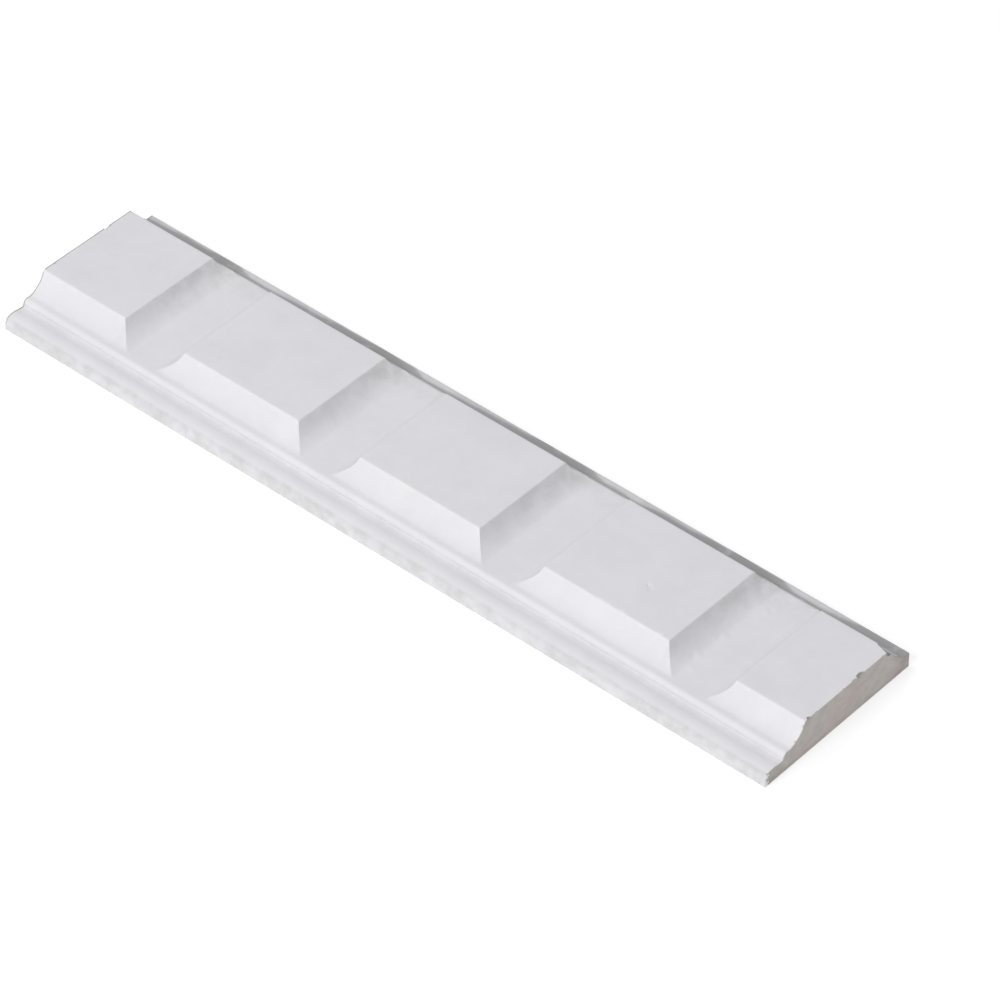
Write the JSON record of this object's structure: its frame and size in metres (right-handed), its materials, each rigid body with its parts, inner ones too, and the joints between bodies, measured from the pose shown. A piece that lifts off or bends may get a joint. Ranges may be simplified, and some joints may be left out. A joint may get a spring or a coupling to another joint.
{
  "type": "chair rail moulding",
  "caption": "Flat chair rail moulding: a base strip with a nosed, beaded front edge and a back ledge, carrying a row of flat tablets with coved sides. Ends cut square.",
  "frame": {"origin": "middle of the flat wall face, which is the underside as modelled", "axes": "+X along the rail, +Y across it from the nosed edge to the ledge, +Z outwards from the wall"},
  "size_m": [0.2922, 0.0636, 0.0127],
  "materials": {
    "painted_core": "off-white satin paint on the face, bare grey-brown core on the sawn ends and the wall face"
  },
  "bodies": {
    "root": {"chair_rail": "painted_core"}
  },
  "joints": []
}
